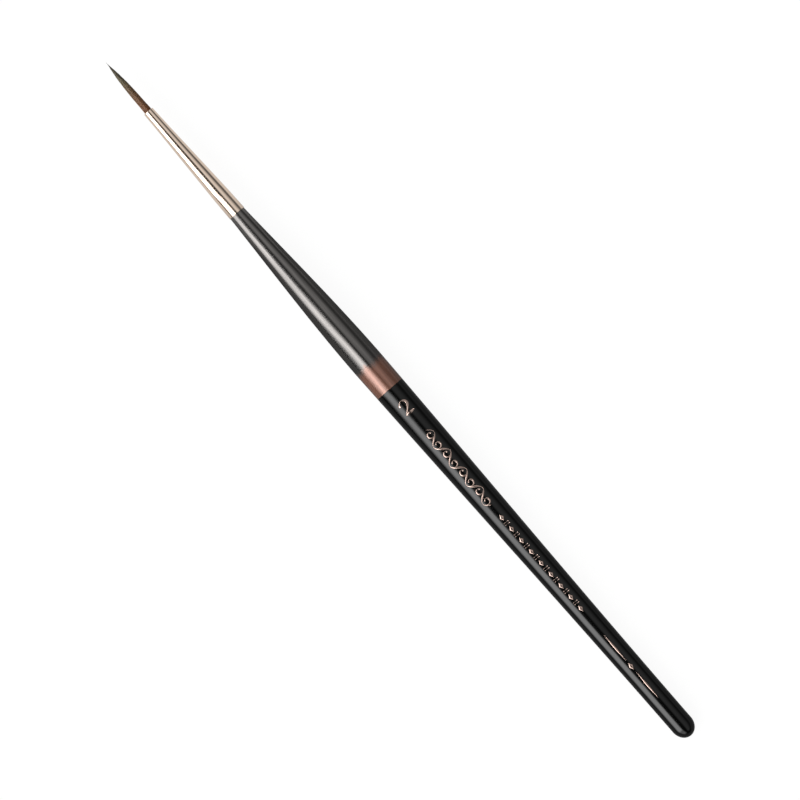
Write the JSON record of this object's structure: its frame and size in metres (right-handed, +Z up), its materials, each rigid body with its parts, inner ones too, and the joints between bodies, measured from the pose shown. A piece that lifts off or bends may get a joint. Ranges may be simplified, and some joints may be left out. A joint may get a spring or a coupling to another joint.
{
  "type": "fine detail brush",
  "caption": "Slim round paint brush for miniatures: a pointed hair tuft in a tapered metal ferrule on a swelling lacquered wooden handle with a copper band.",
  "frame": {"origin": "bottom centre of the bounding box, under the middle of the brush as it lies on a table", "axes": "+X along the brush from the hair tip to the round end of the handle, +Z up"},
  "size_m": [0.1776, 0.0066, 0.0066],
  "materials": {
    "hair": "natural red-brown animal hair, darker to the tip",
    "thread": "waxed thread",
    "cement": "hard amber resin",
    "ferrule": "drawn brass, warm nickel plating, polished",
    "glue": "dried glue film",
    "wood": "turned hardwood, sanded",
    "matt_lacquer": "satin anthracite lacquer",
    "copper_lacquer": "satin copper-coloured metallic lacquer",
    "gloss_lacquer": "high-gloss black lacquer"
  },
  "bodies": {
    "root": {"hair_tuft": "hair", "binding_thread": "thread", "root_cement": "cement", "ferrule": "ferrule", "tenon_glue": "glue", "handle_core": "wood", "grip_lacquer": "matt_lacquer", "copper_band": "copper_lacquer", "gloss_lacquer": "gloss_lacquer"}
  },
  "joints": []
}
